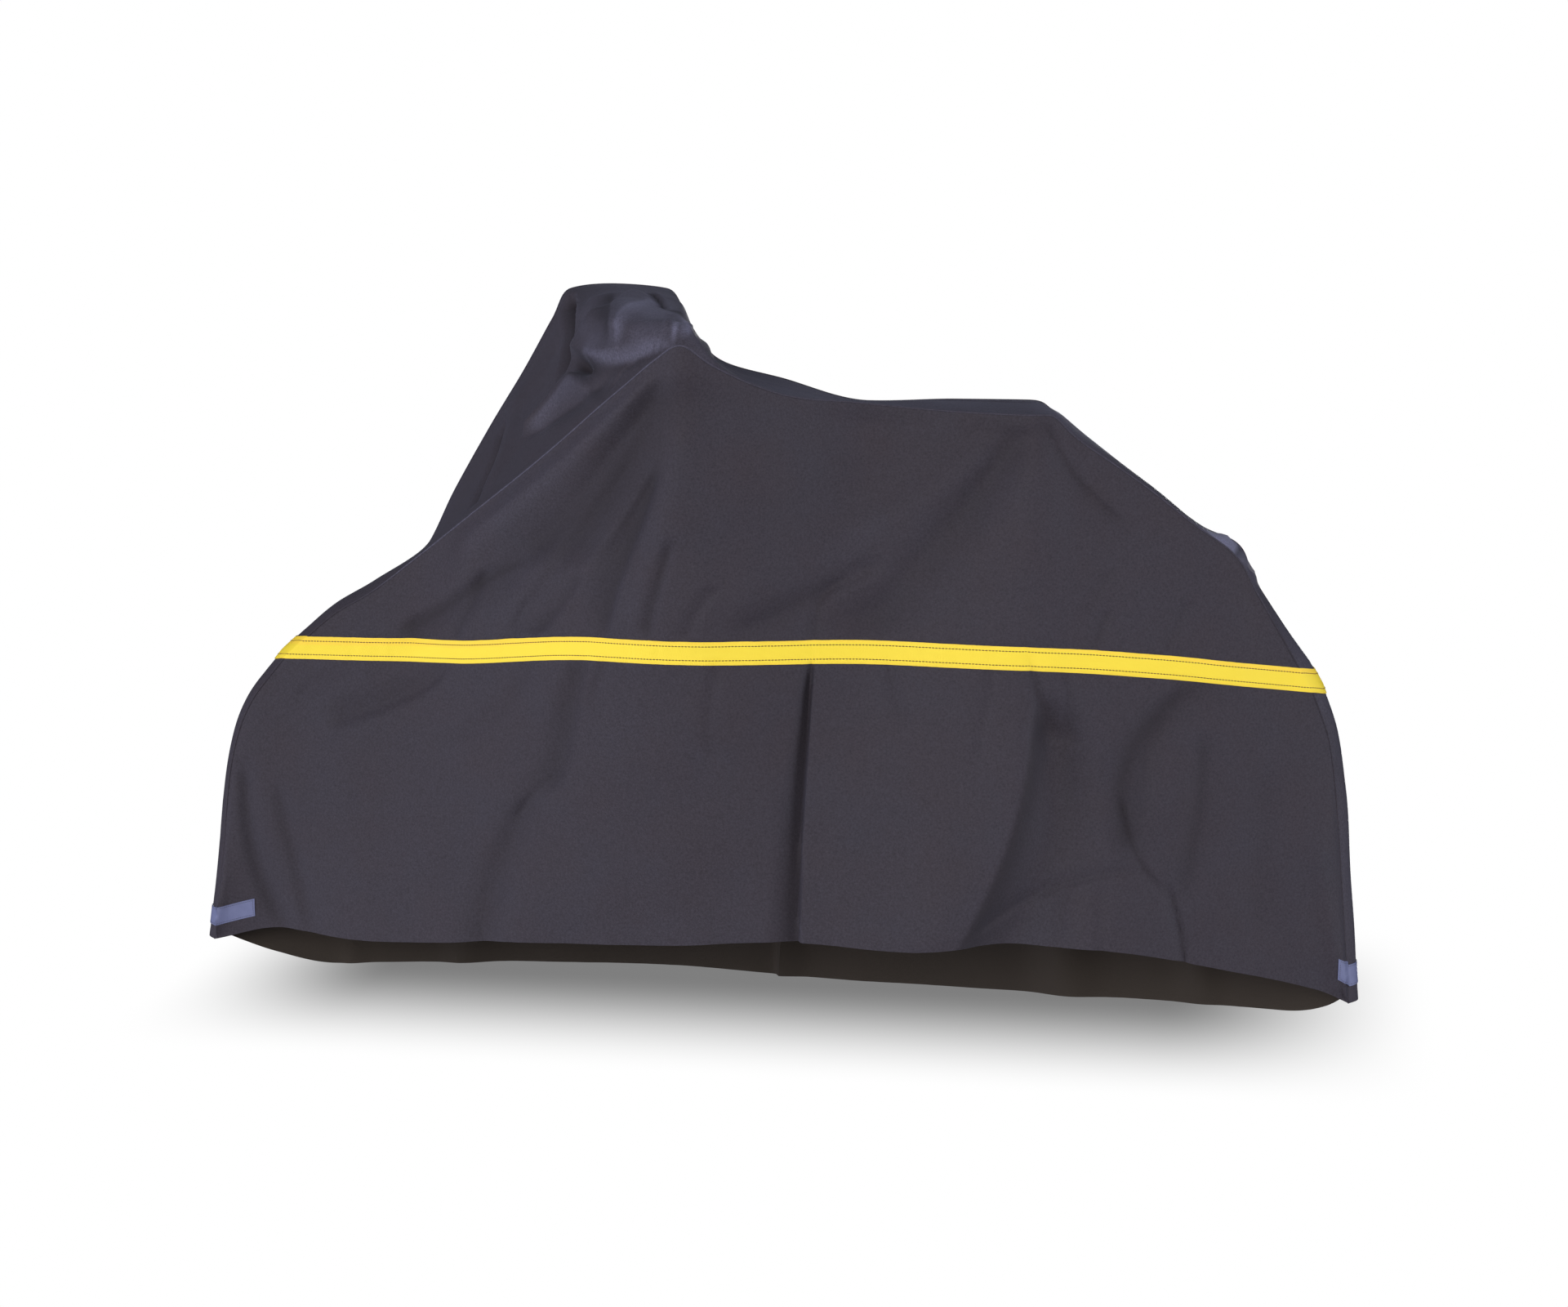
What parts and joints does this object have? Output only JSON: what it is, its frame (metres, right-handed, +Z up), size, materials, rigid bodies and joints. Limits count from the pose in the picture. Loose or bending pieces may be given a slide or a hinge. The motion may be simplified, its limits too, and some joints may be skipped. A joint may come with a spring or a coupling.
{
  "type": "bicycle cover",
  "caption": "Fitted cloth cover draped over a standing bicycle, with a sewn contrast band along its sides and an open hem.",
  "frame": {"origin": "the point on the inside of the top, over the saddle, where the cover is held up", "axes": "+X along the bicycle towards its rear wheel, +Z up, -Y towards the side the bicycle leans to"},
  "size_m": [1.8218, 0.54, 1.1114],
  "materials": {
    "cover_cloth": "coated plain-weave cloth, faint sheen",
    "band": "flat webbing with brown thread",
    "label": "woven tape"
  },
  "bodies": {
    "root": {"near_side_panel": "cover_cloth", "far_side_panel": "cover_cloth", "centre_panel": "cover_cloth", "near_band": "band", "far_band": "band", "front_label": "label", "rear_label": "label"}
  },
  "joints": []
}
